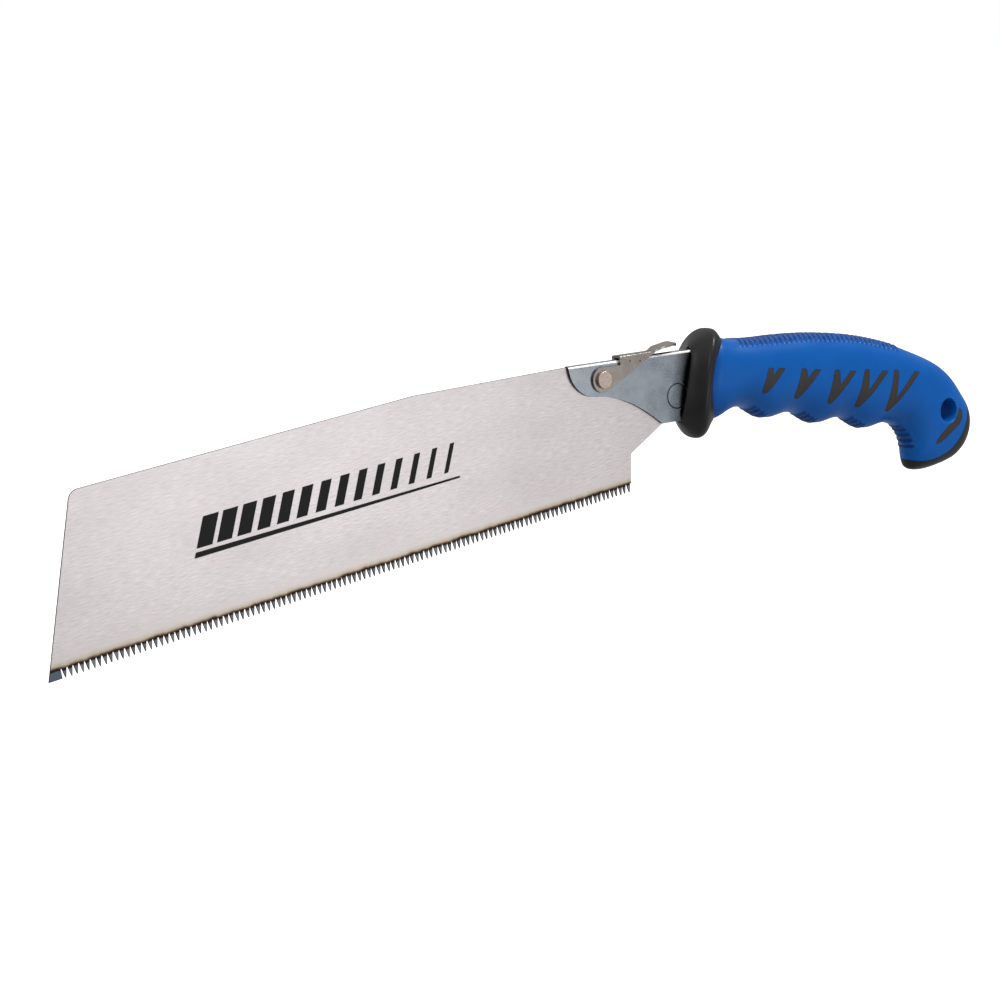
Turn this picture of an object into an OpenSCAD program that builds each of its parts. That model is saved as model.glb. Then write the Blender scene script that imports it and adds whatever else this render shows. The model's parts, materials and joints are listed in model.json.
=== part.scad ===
// Pull saw with a pistol grip and a quick-change blade.
// The blade's tail slides into a folded steel holder. A latch lever straddles the
// holder's fold and turns a cam pin that presses the tail up against the fold.
// Blade frame: X runs along the tooth line from the toe, Z is up from the tooth tips.
// Holder frame: h runs along the holder's fold, v is square to it.
// Grip frame: u runs along the grip from its collar, v is square to it.

/* [Blade] */
// Length of the tooth line, with the toe guard
tooth_line_l = 251; // [205:1:320]
// Height of the blade over its tooth tips
blade_h = 61; // [50:0.5:76]
// Thickness of the blade
blade_t = 0.7; // [0.5:0.05:1]
// Lean of the toe edge
toe_lean = 18.8; // [0:0.1:25]
// Radius of the toe's top corner
toe_r = 4; // [1:0.5:8]
// Distance from one tooth to the next
tooth_pitch = 2.117; // [1.6:0.001:3]
// Depth of the gullets
gullet_d = 3.4; // [1.5:0.1:4.5]
// Length of the plain guard at the toe
guard_l = 5; // [3:0.5:10]
// Height of the square heel
heel_h = 15; // [8:0.5:20]
// Height of the tail's top edge below the main top edge
top_drop = 4.7; // [2:0.1:8]
// Length of the tapered top edge in front of the holder
taper_l = 69; // [30:1:90]

/* [Blade holder] */
// Thickness of the folded sheet
leaf_t = 1.2; // [0.8:0.1:2]
// Radius of the holder's nose
nose_r = 13.5; // [12:0.1:16]
// Height of the holder where it enters the collar
holder_h = 28.3; // [25:0.1:31]
// Length of the sweep under the holder
sweep_l = 33; // [28:0.1:36]
// Slope of the fold from the tooth line
fold_slope = 6; // [2:0.5:9]
// Distance of the holder's nose in front of the heel
nose_to_heel = 23.8; // [15:0.1:35]
// Height of the tang
tang_h = 14; // [10:0.5:15]
// Length of the tang behind the collar's rim
tang_l = 58; // [40:1:70]
// Gap between the blade and each leaf
blade_clearance = 0.05; // [0.03:0.01:0.2]

/* [Latch] */
// Diameter of the cam pin
pin_d = 5; // [3.5:0.1:6]
// Radial clearance of the cam pin in the holder
pin_clearance = 0.04; // [0.02:0.01:0.08]
// Offset of the cam
cam_offset = 0.3; // [0.1:0.05:0.4]
// Diameter of the pin's heads
pin_head_d = 6.6; // [6.2:0.1:8]
// Height of the pin's near head
pin_head_h = 1.4; // [0.6:0.1:2]
// Thickness of the lever's sheet
lever_t = 0.9; // [0.6:0.1:1.2]
// Radius of the lever's round end
lever_end_r = 5.1; // [4.5:0.1:6]
// Side clearance of the lever on the holder
lever_clearance = 0.15; // [0.1:0.05:0.3]
// Gap between the lever's web and the fold
web_gap = 0.5; // [0.3:0.1:1]
// Length of the lever's web
web_l = 17.4; // [12:0.1:22]
// Length of the thumb tab
tab_l = 14; // [8:0.5:15]
// Rise of the thumb tab
tab_rise = 2.1; // [1:0.1:4]
// Half of the thumb tab's width
tab_half_w = 3.2; // [2.6:0.1:5]
// Diameter of the stop stud's heads
stud_head_d = 11; // [8:0.1:13]
// Diameter of the stop stud's shank
stud_d = 6; // [4:0.1:7]

/* [Grip] */
// Distance between the finger hollows
finger_pitch = 28.7; // [22:0.1:35]
// Depth of the finger hollows
finger_depth = 3.4; // [1:0.1:5]
// Height of the grip's crown over its axis
crown_h = 27.1; // [24:0.1:34]
// Height of the grip's knuckles under its axis
belly_h = 11.7; // [11:0.1:15]
// Half of the grip's width
grip_half_w = 11; // [9.5:0.1:14]
// Thickness of the soft sleeve over the core
sleeve_t = 2.6; // [2:0.1:3]
// Diameter of the hanging hole
hang_hole_d = 10; // [7:0.1:12]
// Slope of the grip from the tooth line
grip_slope = 18; // [12:0.5:22]
// Depth of the butt under the hanging hole
butt_drop = 27.7; // [26.5:0.1:31]
// Radius of the butt strip's inner edge
strip_r = 26.8; // [25.5:0.1:27]
// Half of the collar's height
collar_half_h = 22.5; // [21.5:0.1:27]
// Half of the collar's width
collar_half_w = 11.5; // [11:0.1:15]
// Distance by which the collar's sides sweep forward
collar_bow = 4.5; // [0:0.1:6]
// Diameter of the cross pins in the tang
tang_pin_d = 3; // [2:0.5:4]

/* [Inlays] */
// Width of the arms of the inlays
arm_w = 2.5; // [1.5:0.1:3]
// Height of the first V inlay
first_v_h = 10.7; // [10:0.1:12]
// Growth of each V inlay over the one before it
v_growth = 2; // [0:0.1:2.5]
// Gap between the slash inlay and the hanging hole
slash_gap = 0.8; // [0.5:0.1:1.5]

/* [Hidden] */

fine = 64;
ring_sides = 24;
ring_steps = 2;
squareness = 3;

// Turns a point of a frame sloping down by a, with its origin at o, into the blade frame.
function placed(p, o, a) = [o.x + p.x * cos(a) + p.y * sin(a), o.y - p.x * sin(a) + p.y * cos(a)];

holder_o = [tooth_line_l - nose_to_heel, blade_h - top_drop];
function from_holder(p) = placed(p, holder_o, fold_slope);

half_gap = blade_t / 2 + blade_clearance;
half_t = half_gap + leaf_t;
nose_back = 1.1;
tail_top = -leaf_t - 0.15;
pin_at = [17, -7];
stud_at = [54.4, -holder_h + 10.2];
tail_end = [stud_at.x, stud_at.y - 5.9];

grip_at = [70.8, -15];
grip_o = from_holder(grip_at);
grip_turn = grip_slope - fold_slope;
function from_grip(p) = placed(p, grip_o, grip_slope);

first_finger = 18.6;
last_finger = first_finger + 3 * finger_pitch;
hole_at = [last_finger + 29.2, 0.2];
hole_o = from_grip(hole_at);
sleeve_front = -5.5;
holder_end = sleeve_front - 0.9;

core_wall = 1.2;
tang_low = finger_depth - belly_h + sleeve_t + core_wall;
tang_mid = tang_low + tang_h / 2;

lever_in = half_t + lever_clearance;
lever_out = lever_in + lever_t;
web_front = pin_at.x + 8.7;
web_end = web_front + web_l;
lever_slope = 30.4;

// ---- frames ----

module in_blade_frame() {
    translate([-hole_o.x, 0, -hole_o.y]) children();
}

module in_holder_frame() {
    in_blade_frame() translate([holder_o.x, 0, holder_o.y]) rotate([0, fold_slope, 0]) children();
}

module in_grip_frame() {
    in_blade_frame() translate([grip_o.x, 0, grip_o.y]) rotate([0, grip_slope, 0]) children();
}

// A flat outline made t thick about the saw's middle plane.
module plate(t) {
    rotate([90, 0, 0]) linear_extrude(t, center = true) children();
}

// A round bar across the saw at p, from y0 to y1.
module across(p, d, y0, y1) {
    translate([p.x, y1, p.y]) rotate([90, 0, 0]) cylinder(h = y1 - y0, d = d, $fn = fine);
}

// ---- lofted shapes ----

function squared(c, e) = sign(c) * pow(abs(c), 2 / e);

// A ring between its top point and its bottom point, w wide to each side, with its sides swept forward by bow.
function ring(top, low, w, bow) = [
    for (i = [0:ring_sides - 1])
        let (a = 360 * (i + 0.5) / ring_sides,
            k = squared(cos(a), squareness),
            m = (top + low) / 2,
            r = (top - low) / 2)
        [m.x + r.x * k - bow * sin(a) * sin(a), w * squared(sin(a), squareness), m.y + r.y * k]];

// A closed skin over rows of [top u, top v, low u, low v, half width, bow].
module loft(rows) {
    n = ring_sides;
    last = len(rows) - 1;
    points = [for (r = rows) each ring([r[0], r[1]], [r[2], r[3]], r[4], r[5])];
    sides = [
        for (j = [0:last - 1], i = [0:n - 1])
            let (a = j * n + i, b = j * n + (i + 1) % n)
            each [[a, b, b + n], [a, b + n, a + n]]];
    front = [for (i = [0:n / 2 - 2]) [n - 1 - i, n - 2 - i, i + 1, i]];
    back = [for (i = [0:n / 2 - 2]) [i, i + 1, n - 2 - i, n - 1 - i] + last * n * [1, 1, 1, 1]];
    polyhedron(points = points, faces = concat(front, sides, back), convexity = 6);
}

function spline(a, b, c, d, t) =
    0.5 * (2 * b + (c - a) * t + (2 * a - 5 * b + 4 * c - d) * t * t + (3 * b - a - 3 * c + d) * t * t * t);

// Rows with smooth ones added between them.
function smooth_rows(rows) =
    let (last = len(rows) - 1)
    [for (j = [0:last - 1], s = [0:ring_steps - 1])
        spline(rows[max(j - 1, 0)], rows[j], rows[j + 1], rows[min(j + 2, last)], s / ring_steps),
        rows[last]];

// A row of a loft, from its top and low points, its half width and its bow.
function row(top, low, w, bow = 0) = [top.x, top.y, low.x, low.y, w, bow];

function finger(k) = first_finger + k * finger_pitch;
function hollow(k, top) = row([finger(k), top], [finger(k), finger_depth - belly_h], grip_half_w - 0.3);
function knuckle(k, top) = row([finger(k + 0.5), top], [finger(k + 0.5), -belly_h], grip_half_w);

grip_rows = [
    row([sleeve_front, crown_h - 12], [sleeve_front, -belly_h - 1.8], grip_half_w - 3),
    row([-1, crown_h - 8.2], [-1, -belly_h - 3.4], grip_half_w - 1.5),
    row([8, crown_h - 8.2], [8.5, -belly_h - 0.8], grip_half_w - 1),
    hollow(0, crown_h - 7.2),
    knuckle(0, crown_h - 4.5),
    hollow(1, crown_h - 2.2),
    knuckle(1, crown_h - 0.7),
    hollow(2, crown_h),
    knuckle(2, crown_h - 0.4),
    hollow(3, crown_h - 1.9),
    row(hole_at + [-12.9, crown_h - 4.9], [hole_at.x - 21.4, -belly_h + 2.2], grip_half_w - 0.3),
    row(hole_at + [-2.9, crown_h - 7.8], hole_at + [-16, 0.5 * -butt_drop], grip_half_w - 0.4),
    row(hole_at + [5.1, crown_h - 12], hole_at + [-13, 0.69 * -butt_drop], grip_half_w - 0.5),
    row(hole_at + [11.9, 9.4], hole_at + [-12.1, 0.86 * -butt_drop], grip_half_w - 0.7),
    row(hole_at + [17.6, 4.2], hole_at + [-10.4, -butt_drop], grip_half_w - 1.1),
    row(hole_at + [20.7, -2.2], hole_at + [-4.9, -butt_drop + 0.3], grip_half_w - 1.8),
    row(hole_at + [19.9, -9.5], hole_at + [1.6, -butt_drop + 2.4], grip_half_w - 3.4),
    row(hole_at + [16.6, -15.1], hole_at + [7.1, -butt_drop + 5], grip_half_w - 6),
    row(hole_at + [14.4, -17.5], hole_at + [10, -butt_drop + 7.1], grip_half_w - 8)];

module grip_body() loft(smooth_rows(grip_rows));

core_end = 10;
core_rows = [
    for (j = [0:core_end])
        let (r = grip_rows[j])
        [r[0], r[1] - sleeve_t, r[2], r[3] + sleeve_t, r[4] - sleeve_t, 0]];

module core_body() loft(smooth_rows(core_rows));

// ---- blade ----

function tooth(i) =
    let (x = guard_l + 0.3 + i * tooth_pitch)
    [[x, gullet_d], [x + 0.42 * tooth_pitch, 0.15], [x + 0.54 * tooth_pitch, 0], [x + 0.9 * tooth_pitch, gullet_d]];

tooth_count = floor((tooth_line_l - guard_l - 0.3) / tooth_pitch);

// The toe's top corner, from its top edge round to its sloping edge.
function toe_round() =
    let (o = [(blade_h - toe_r) * tan(toe_lean) + toe_r / cos(toe_lean), blade_h - toe_r])
    [for (i = [0:6]) let (a = 90 + i * (90 - toe_lean) / 6) o + toe_r * [cos(a), sin(a)]];

module blade_outline() {
    difference() {
        polygon(concat(
            [[0, 0], [guard_l, 0], [guard_l, gullet_d]],
            [for (i = [0:tooth_count - 1]) each tooth(i)],
            [[tooth_line_l + 0.2, gullet_d],
                [tooth_line_l + 2.4, heel_h],
                from_holder(tail_end),
                from_holder([tail_end.x, tail_top]),
                from_holder([nose_back - 0.4, tail_top]),
                from_holder([nose_back - 0.4, -0.3]),
                [holder_o.x - taper_l, blade_h]],
            toe_round()));
        translate(from_holder(stud_at)) circle(d = stud_d + 0.2, $fn = fine);
        translate(holder_o) rotate(-fold_slope) pin_slot();
    }
}

// The open slot that lets the tail pass the cam pin.
module pin_slot() {
    cam_r = pin_d / 2 - cam_offset - 0.1;
    up = cam_r + cam_offset + pin_clearance;
    down = cam_r + pin_clearance;
    round_r = (up + down) / 2;
    round_o = pin_at + [-cam_offset, (up - down) / 2];
    translate(round_o) circle(r = round_r, $fn = fine);
    translate(round_o - [0, round_r]) square([tail_end.x, 2 * round_r]);
}

module blade() {
    color("#cbc4c6") in_blade_frame() plate(blade_t) blade_outline();
}

// ---- holder ----

nose_arc = [for (i = [1:12]) let (a = 180 + 7.5 * i) [nose_back + nose_r * (1 + cos(a)), nose_r * sin(a)]];
sweep_arc = [
    for (i = [1:14])
        let (t = i / 14)
        [nose_back + nose_r - 1.5 + sweep_l * t, -nose_r - 0.1 - (holder_h - nose_r - 0.1) * pow(t, 1.87)]];

module holder_outline() {
    difference() {
        polygon(concat(nose_arc, sweep_arc, [[grip_at.x + 6, -holder_h], [grip_at.x + 6, -half_t], [nose_back, -half_t]]));
        translate(grip_at) rotate(-grip_turn) translate([holder_end, -60]) square(120);
    }
    tang_outline(14);
}

// The tang, which starts before the grip's own origin.
module tang_outline(before) {
    translate(grip_at) rotate(-grip_turn) translate([-before, tang_low]) square([tang_l + before, tang_h]);
}

tang_pin_at = [[22, tang_mid], [46, tang_mid]];

// The round fold that joins the holder's two leaves.
module fold() {
    translate([nose_back + 0.1, 0, -half_t]) rotate([0, 90, 0])
        cylinder(h = grip_at.x - nose_back - 4.1, r = half_t, $fn = fine);
}

module blade_holder() {
    color("#87969f") {
        difference() {
            in_holder_frame() difference() {
                union() {
                    plate(2 * half_t) holder_outline();
                    fold();
                }
                plate(2 * half_gap) translate([-5, -60]) square([tang_l + 90, 60 - leaf_t]);
                across(pin_at, pin_d + 2 * pin_clearance, -5, 5);
                across(stud_at, stud_d, -5, 5);
                across(stud_at, stud_head_d, -half_t - 1, -half_t + 0.5);
                across(stud_at, stud_head_d, half_t - 0.5, half_t + 1);
            }
            tang_pins();
        }
    }
}

module spacer_outline() {
    intersection() {
        tang_outline(8);
        translate([tail_end.x + 2, -60]) square([tang_l + 60, 60 - leaf_t]);
    }
}

module tang_spacer() {
    color("#8d8f92") difference() {
        in_holder_frame() plate(2 * half_gap) spacer_outline();
        tang_pins();
    }
}

module tang_pins() {
    color("#a9adb0") in_grip_frame() for (p = tang_pin_at) {
        across(p, tang_pin_d, -grip_half_w + sleeve_t + 1, grip_half_w - sleeve_t - 1);
    }
}

module stop_stud() {
    head_h = 0.55;
    color("#6f7c88") in_holder_frame() {
        across(stud_at, stud_d, -half_t, half_t);
        across(stud_at, stud_head_d, -half_t - head_h + 0.5, -half_t + 0.5);
        across(stud_at, stud_head_d, half_t - 0.5, half_t + head_h - 0.5);
    }
}

// ---- latch ----

module cheek_outline() {
    corner = [web_end, web_gap + lever_t / 2];
    tangent = pin_at + lever_end_r * [sin(lever_slope), -cos(lever_slope)];
    translate(pin_at) circle(r = lever_end_r, $fn = fine);
    polygon([pin_at, tangent, corner, [web_front, corner.y], [web_front, pin_at.y + 0.94 * lever_end_r],
        [pin_at.x, pin_at.y + 0.94 * lever_end_r]]);
}

// The thumb tab, in profile and in plan.
module thumb_tab(top) {
    end = web_end + tab_l;
    intersection() {
        plate(2 * tab_half_w) polygon([
            [web_end - 0.5, web_gap], [web_end + 0.6 * tab_l, web_gap + 0.85 * tab_rise],
            [end, web_gap + tab_rise], [end, top + tab_rise],
            [web_end + 0.6 * tab_l, top + 0.85 * tab_rise], [web_end - 0.5, top]]);
        linear_extrude(20, center = true) {
            translate([end - tab_half_w, 0]) circle(r = tab_half_w, $fn = fine);
            polygon([[web_end - 0.5, -lever_in], [web_end + tab_half_w, -tab_half_w], [end - tab_half_w, -tab_half_w],
                [end - tab_half_w, tab_half_w], [web_end + tab_half_w, tab_half_w], [web_end - 0.5, lever_in]]);
        }
    }
}

module latch_lever() {
    top = web_gap + lever_t;
    color("#b5aea4") in_holder_frame() difference() {
        union() {
            for (side = [-1, 1]) {
                translate([0, side * (lever_in + lever_t / 2), 0]) plate(lever_t) cheek_outline();
            }
            translate([web_front, -lever_out, web_gap]) cube([web_l, 2 * lever_out, lever_t]);
            thumb_tab(top);
        }
        across(pin_at, pin_d, -6, 6);
    }
}

module cam_pin() {
    color("#b9aca5") in_holder_frame() {
        across(pin_at, pin_d, -lever_out, -half_gap);
        across(pin_at, pin_d, half_gap, lever_out);
        across(pin_at + [0, cam_offset], pin_d - 2 * cam_offset - 0.2, -half_gap, half_gap);
        across(pin_at, pin_head_d, -lever_out - pin_head_h, -lever_out);
        across(pin_at, pin_head_d, lever_out, lever_out + 0.8 * pin_head_h);
    }
}

// ---- handle ----

module tang_hollow() {
    in_holder_frame() plate(2 * half_t) holder_outline();
    in_holder_frame() fold();
}

module handle_core() {
    color("#2b2b2d") difference() {
        in_grip_frame() core_body();
        tang_hollow();
        tang_pins();
    }
}

collar_rows = [
    row([-10.2, collar_half_h - 8.9], [-12.2, -collar_half_h + 5.7], collar_half_w - 8.3),
    row([-6.6, collar_half_h - 3.9], [-8.6, -collar_half_h + 2.3], collar_half_w - 4.1, 0.45 * collar_bow),
    row([-4.2, collar_half_h - 1.3], [-5.2, -collar_half_h + 0.6], collar_half_w - 1.3, 0.8 * collar_bow),
    row([-2.5, collar_half_h - 0.2], [-2.5, -collar_half_h], collar_half_w, collar_bow),
    row([-0.4, collar_half_h - 0.3], [-0.2, -collar_half_h + 0.2], collar_half_w - 0.1, 1.15 * collar_bow),
    row([1.8, collar_half_h - 1.3], [1.9, -collar_half_h + 1.6], collar_half_w - 0.4, 1.35 * collar_bow),
    row([3.6, collar_half_h - 2.3], [3.7, -collar_half_h + 4], collar_half_w - 0.8, 1.55 * collar_bow),
    row([5.2, collar_half_h - 3], [5.5, -collar_half_h + 7], collar_half_w - 1.2, 1.7 * collar_bow)];

module front_collar() {
    color("#2e2c2d") difference() {
        in_grip_frame() difference() {
            loft(smooth_rows(collar_rows));
            grip_body();
        }
        tang_hollow();
        in_holder_frame() across(stud_at, stud_head_d + 0.4, -half_t - 0.3, half_t + 0.3);
    }
}

// A band arm_w wide along a path, with round ends and corners.
module band(path) {
    for (p = path) translate(p) circle(d = arm_w, $fn = 24);
    for (i = [0:len(path) - 2]) {
        run = path[i + 1] - path[i];
        translate(path[i]) rotate(atan2(run.y, run.x)) translate([0, -0.48 * arm_w])
            square([norm(run), 0.96 * arm_w]);
    }
}

// One V inlay: a pointed leaf that forks into two arms.
module v_outline(i) {
    tip = [first_finger + 5.1 + i * finger_pitch * 0.631, -1.4 - 0.45 * i];
    h = first_v_h + i * v_growth;
    polygon([tip + [-1.6, 1.1], tip, tip + [2.7, 2], tip + [0.87 * h, h], tip + [0.87 * h - 1.5 * arm_w, h],
        tip + [4.2, 8], tip + [0.5 + arm_w, h], tip + [0.5, h]]);
}

module slash_outline() {
    r = hang_hole_d / 2 + arm_w / 2 + slash_gap;
    band([hole_at + r * [1.05, 0.1], hole_at + r * [0.78, -0.78], hole_at + [-4.8, -13.6]]);
}

// Everything outside the inner edge of the butt strip.
module strip_outline() {
    difference() {
        translate(hole_at - [15, 40]) square([60, 38]);
        translate(hole_at + [-12.7, 3]) circle(r = strip_r, $fn = 4 * fine);
    }
}

module inlay(extra = 0) {
    plate(2 * grip_half_w + 4 + extra) children();
}

module grip_sleeve() {
    color("#0d50a0") in_grip_frame() difference() {
        grip_body();
        core_body();
        for (i = [0:4]) inlay() v_outline(i);
        difference() {
            inlay() slash_outline();
            plate(2 * (grip_half_w - sleeve_t)) slash_outline();
        }
        inlay() strip_outline();
        across(hole_at, hang_hole_d, -20, 20);
    }
}

module v_inlay(i) {
    color("#343536") in_grip_frame() intersection() {
        grip_body();
        difference() {
            inlay(2) v_outline(i);
            core_body();
        }
    }
}

module v_inlay_1() v_inlay(0);
module v_inlay_2() v_inlay(1);
module v_inlay_3() v_inlay(2);
module v_inlay_4() v_inlay(3);
module v_inlay_5() v_inlay(4);

module slash_inlay() {
    color("#343536") in_grip_frame() intersection() {
        grip_body();
        difference() {
            inlay(2) slash_outline();
            plate(2 * (grip_half_w - sleeve_t)) slash_outline();
        }
    }
}

module butt_strip() {
    color("#2e2e30") in_grip_frame() intersection() {
        grip_body();
        inlay(2) strip_outline();
    }
}

blade();
blade_holder();
tang_spacer();
tang_pins();
stop_stud();
latch_lever();
cam_pin();
handle_core();
front_collar();
grip_sleeve();
v_inlay_1();
v_inlay_2();
v_inlay_3();
v_inlay_4();
v_inlay_5();
slash_inlay();
butt_strip();
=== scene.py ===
import json
import math

import bmesh
import bpy
from mathutils import Matrix, Vector


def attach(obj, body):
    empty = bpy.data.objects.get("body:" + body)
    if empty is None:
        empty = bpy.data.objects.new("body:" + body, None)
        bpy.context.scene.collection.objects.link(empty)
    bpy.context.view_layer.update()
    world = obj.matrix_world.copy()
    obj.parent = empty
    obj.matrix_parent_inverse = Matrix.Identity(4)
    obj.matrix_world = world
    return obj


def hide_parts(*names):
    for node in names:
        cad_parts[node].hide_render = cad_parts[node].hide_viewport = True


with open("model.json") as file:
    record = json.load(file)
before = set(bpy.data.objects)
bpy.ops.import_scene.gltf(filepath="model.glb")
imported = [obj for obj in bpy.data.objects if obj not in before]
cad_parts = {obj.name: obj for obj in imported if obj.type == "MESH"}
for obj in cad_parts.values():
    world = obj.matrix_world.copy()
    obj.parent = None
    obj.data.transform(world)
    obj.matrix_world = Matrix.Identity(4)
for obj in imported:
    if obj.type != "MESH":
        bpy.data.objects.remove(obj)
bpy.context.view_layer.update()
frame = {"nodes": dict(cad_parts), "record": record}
nodes = frame["nodes"]
print("frame loaded:", len(nodes), "nodes")

mm = 0.001

cameraValues = {
    "azimuth": 33.16,      # degrees from square on, towards the toe
    "elevation": 13.27,
    "roll": -9.09,
    "distance": 0.762,
    "target": (-0.235, 0.0, 0.0203),
    "lens": 72.0,
    "sensor": 36.0,
}


def makeCamera(values):
    azimuth = math.radians(values["azimuth"])
    elevation = math.radians(values["elevation"])
    look = Vector((math.sin(azimuth) * math.cos(elevation),
                   math.cos(azimuth) * math.cos(elevation), -math.sin(elevation)))
    right = look.cross(Vector((0, 0, 1))).normalized()
    up = right.cross(look)
    roll = math.radians(values["roll"])
    camRight = right * math.cos(roll) + up * math.sin(roll)
    camUp = up * math.cos(roll) - right * math.sin(roll)
    turn = Matrix((camRight, camUp, -look)).transposed()
    bpy.ops.object.camera_add()
    camera = bpy.context.object
    place = Vector(values["target"]) - look * values["distance"]
    camera.matrix_world = Matrix.Translation(place) @ turn.to_4x4()
    camera.data.lens = values["lens"]
    camera.data.sensor_width = values["sensor"]
    bpy.context.scene.camera = camera


makeCamera(cameraValues)

# Pieces are drawn flat, in millimetres, each in its own frame: the holder's starts at its fold,
# the grip's at its collar and the blade's at the toe end of its tooth tips
frameValues = {
    "holderSlope": 6.0,      # degrees down towards the butt
    "gripSlope": 18.0,
    "pinInHolder": (17.0, -7.0),
    "holeInGrip": (133.9, 0.2),
    "holeInBlade": (423.4525, -7.2056),
}


def slopedFrame(known, place, slope):
    turn = Matrix.Rotation(math.radians(slope), 4, "Y")
    return Matrix.Translation(Vector(place) - turn @ Vector((known[0] * mm, 0, known[1] * mm))) @ turn


pinPlace = frame["record"]["behaviour"]["joints"][0]["pos_m"]
inHolder = slopedFrame(frameValues["pinInHolder"], pinPlace, frameValues["holderSlope"])
inGrip = slopedFrame(frameValues["holeInGrip"], (0, 0, 0), frameValues["gripSlope"])
inBlade = slopedFrame(frameValues["holeInBlade"], (0, 0, 0), 0)


# Modelling helpers

def startClean():
    if bpy.context.mode != "OBJECT":
        bpy.ops.object.mode_set(mode="OBJECT")
    bpy.ops.object.select_all(action="DESELECT")


def only(obj):
    startClean()
    obj.select_set(True)
    bpy.context.view_layer.objects.active = obj


def editing(obj, kind="VERT"):
    only(obj)
    bpy.ops.object.mode_set(mode="EDIT")
    bpy.ops.mesh.select_mode(type=kind)


def pick(obj, test, kind="VERT"):
    bpy.ops.mesh.select_mode(type=kind)
    bpy.ops.mesh.select_all(action="DESELECT")
    bm = bmesh.from_edit_mesh(obj.data)
    if kind == "VERT":
        for v in bm.verts:
            v.select = test(v.co)
    elif kind == "EDGE":
        for e in bm.edges:
            e.select = test(e.verts[0].co, e.verts[1].co)
    else:
        for f in bm.faces:
            f.select = test(f.calc_center_median(), f.normal)
    bm.select_flush_mode()
    bmesh.update_edit_mesh(obj.data)


def applied(obj):
    only(obj)
    for modifier in list(obj.modifiers):
        bpy.ops.object.modifier_apply(modifier=modifier.name)


def rounded(obj, width, segments=2, angle=40):
    bevel = obj.modifiers.new("edges", "BEVEL")
    bevel.width = width * mm
    bevel.segments = segments
    bevel.limit_method = "ANGLE"
    bevel.angle_limit = math.radians(angle)
    applied(obj)


def boolean(obj, tool, operation="DIFFERENCE"):
    cut = obj.modifiers.new("cut", "BOOLEAN")
    cut.operation = operation
    cut.solver = "MANIFOLD"
    cut.object = tool
    applied(obj)
    bpy.data.objects.remove(tool, do_unlink=True)


def smoothed(obj):
    surface = obj.modifiers.new("smooth", "SUBSURF")
    surface.levels = 2
    surface.render_levels = 2
    applied(obj)


def copied(obj, name):
    only(obj)
    bpy.ops.object.duplicate()
    twin = bpy.context.object
    twin.name = name
    return twin


def joined(objects):
    startClean()
    for o in objects:
        o.select_set(True)
    bpy.context.view_layer.objects.active = objects[0]
    bpy.ops.object.join()
    return objects[0]


def share(low, high, value):
    return min(max((value - low) / (high - low), 0), 1)


def smoothStep(low, high, value):
    t = share(low, high, value)
    return t * t * (3 - 2 * t)


def facingOut(obj):
    editing(obj)
    bpy.ops.mesh.select_all(action="SELECT")
    bpy.ops.mesh.normals_make_consistent(inside=False)
    startClean()


# A flat outline in x and z, drawn point by point, filled, and pulled from y0 to y1
def drawPlate(name, outline, y0, y1, corner=0.0):
    startClean()
    bpy.ops.mesh.primitive_plane_add(size=0.01)
    obj = bpy.context.object
    obj.name = name
    editing(obj)
    bpy.ops.mesh.select_all(action="SELECT")
    bpy.ops.mesh.merge(type="CENTER")
    here = Vector((outline[0][0] * mm, y0 * mm, outline[0][1] * mm))
    bpy.ops.transform.translate(value=here)
    for x, z in outline[1:]:
        last, here = here, Vector((x * mm, y0 * mm, z * mm))
        bpy.ops.mesh.extrude_vertices_move(TRANSFORM_OT_translate={"value": here - last})
    bm = bmesh.from_edit_mesh(obj.data)
    bm.verts.ensure_lookup_table()
    for v in bm.verts:
        v.select = len(v.link_edges) < 2
    bm.select_flush_mode()
    bpy.ops.mesh.edge_face_add()
    bpy.ops.mesh.select_all(action="SELECT")
    bpy.ops.mesh.edge_face_add()
    if corner:
        bpy.ops.mesh.bevel(offset=corner * mm, segments=3, affect="VERTICES")
    bpy.ops.mesh.select_all(action="SELECT")
    bpy.ops.mesh.extrude_region_move(TRANSFORM_OT_translate={"value": (0, (y1 - y0) * mm, 0)})
    facingOut(obj)
    return obj


# A round bar across the saw
def crossBar(name, at, radius, y0, y1, sides=64):
    startClean()
    bpy.ops.mesh.primitive_cylinder_add(vertices=sides, radius=radius * mm, depth=(y1 - y0) * mm,
                                        location=(at[0] * mm, (y0 + y1) / 2 * mm, at[1] * mm),
                                        rotation=(math.pi / 2, 0, 0))
    obj = bpy.context.object
    obj.name = name
    bpy.ops.object.transform_apply(location=True, rotation=True, scale=True)
    return obj


# Every piece ends here: its materials, its place in the mesh, its shading and what it stands for
def finished(obj, name, turn, material, body, node, smooth, edges=(), flatFaces=True):
    only(obj)
    obj.name = name
    obj.data.name = name
    obj.data.materials.clear()
    obj.data.materials.append(material)
    for edgeMaterial, test in edges:      # painted edge shade and painted edge highlight take materials of their own
        obj.data.materials.append(edgeMaterial)
    for face in obj.data.polygons:
        found = [i for i, (edgeMaterial, test) in enumerate(edges, 1)
                 if test(face.center / mm, face.normal)]
        face.material_index = found[0] if found else 0
    obj.data.transform(turn)
    bpy.ops.object.shade_smooth_by_angle(angle=math.radians(smooth))
    if flatFaces:      # they stay flat beside their rounded edges
        obj.modifiers.new("normals", "WEIGHTED_NORMAL").keep_sharp = True
        applied(obj)
    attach(obj, body)
    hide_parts(node)
    startClean()
    print("made", name, len(obj.data.polygons), "faces")
    return obj


# Material helpers

def newMaterial(name, values):
    material = bpy.data.materials.new(name)
    material.use_nodes = True
    tree = material.node_tree
    shader = tree.nodes["Principled BSDF"]
    for socket, value in values.items():
        shader.inputs[socket].default_value = value
    return material, tree, shader


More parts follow.
